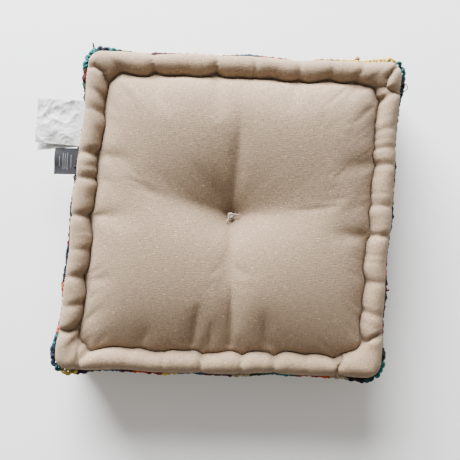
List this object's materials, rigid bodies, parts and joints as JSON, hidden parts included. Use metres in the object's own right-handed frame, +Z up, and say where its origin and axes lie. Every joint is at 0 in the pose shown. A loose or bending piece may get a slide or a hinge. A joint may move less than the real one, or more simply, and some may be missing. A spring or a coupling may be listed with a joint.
{
  "type": "floor cushion",
  "caption": "Square tufted floor cushion with rolled mattress edges: canvas back, looped woven face and sides, one central tuft, and two fabric labels in a side seam.",
  "frame": {"origin": "the cushion's centre of mass, on the axis of its one tuft cord, about halfway between the back panel and the face panel and 52.2 mm above the surface that it lies on", "axes": "+Z up through the canvas back, with the woven face down on the floor; X across the cushion, with the two labels leaving the seam on the -X side; Y along the cushion, with the labels in its +Y half"},
  "size_m": [0.574, 0.506, 0.1103],
  "materials": {
    "canvas": "matte",
    "weave": "matte",
    "filling": "matte",
    "twine": "matte",
    "seam_thread": "matte",
    "spunbond": "matte",
    "ribbon": "satin"
  },
  "bodies": {
    "cushion": {"back_panel": "canvas", "face_panel": "weave", "band_front": "weave", "band_rear": "weave", "band_left": "weave", "band_right": "weave", "filling_core": "filling", "back_roll_filling": "filling", "face_roll_filling": "filling", "back_roll_stitch": "twine", "band_upper_stitch": "twine", "band_lower_stitch": "twine", "face_roll_stitch": "twine", "back_seam_thread": "seam_thread", "face_seam_thread": "seam_thread", "tuft_cord": "twine", "back_tuft_knot": "twine", "face_tuft_knot": "twine"},
    "care_label": {"care_label_upper_leaf": "spunbond", "care_label_lower_leaf": "spunbond"},
    "brand_label": {"brand_label": "ribbon"}
  },
  "joints": [
    {"name": "care_label_hinge", "type": "hinge", "parent": "cushion", "child": "care_label", "pos_m": [-0.255, 0.13, 0.0308], "axis": [0, 1, 0], "range_deg": [-75, 80], "stiffness_Nm_per_rad": 0.003},
    {"name": "brand_label_hinge", "type": "hinge", "parent": "cushion", "child": "brand_label", "pos_m": [-0.255, 0.07, 0.0308], "axis": [0, 1, 0], "range_deg": [-75, 80], "stiffness_Nm_per_rad": 0.0004}
  ]
}
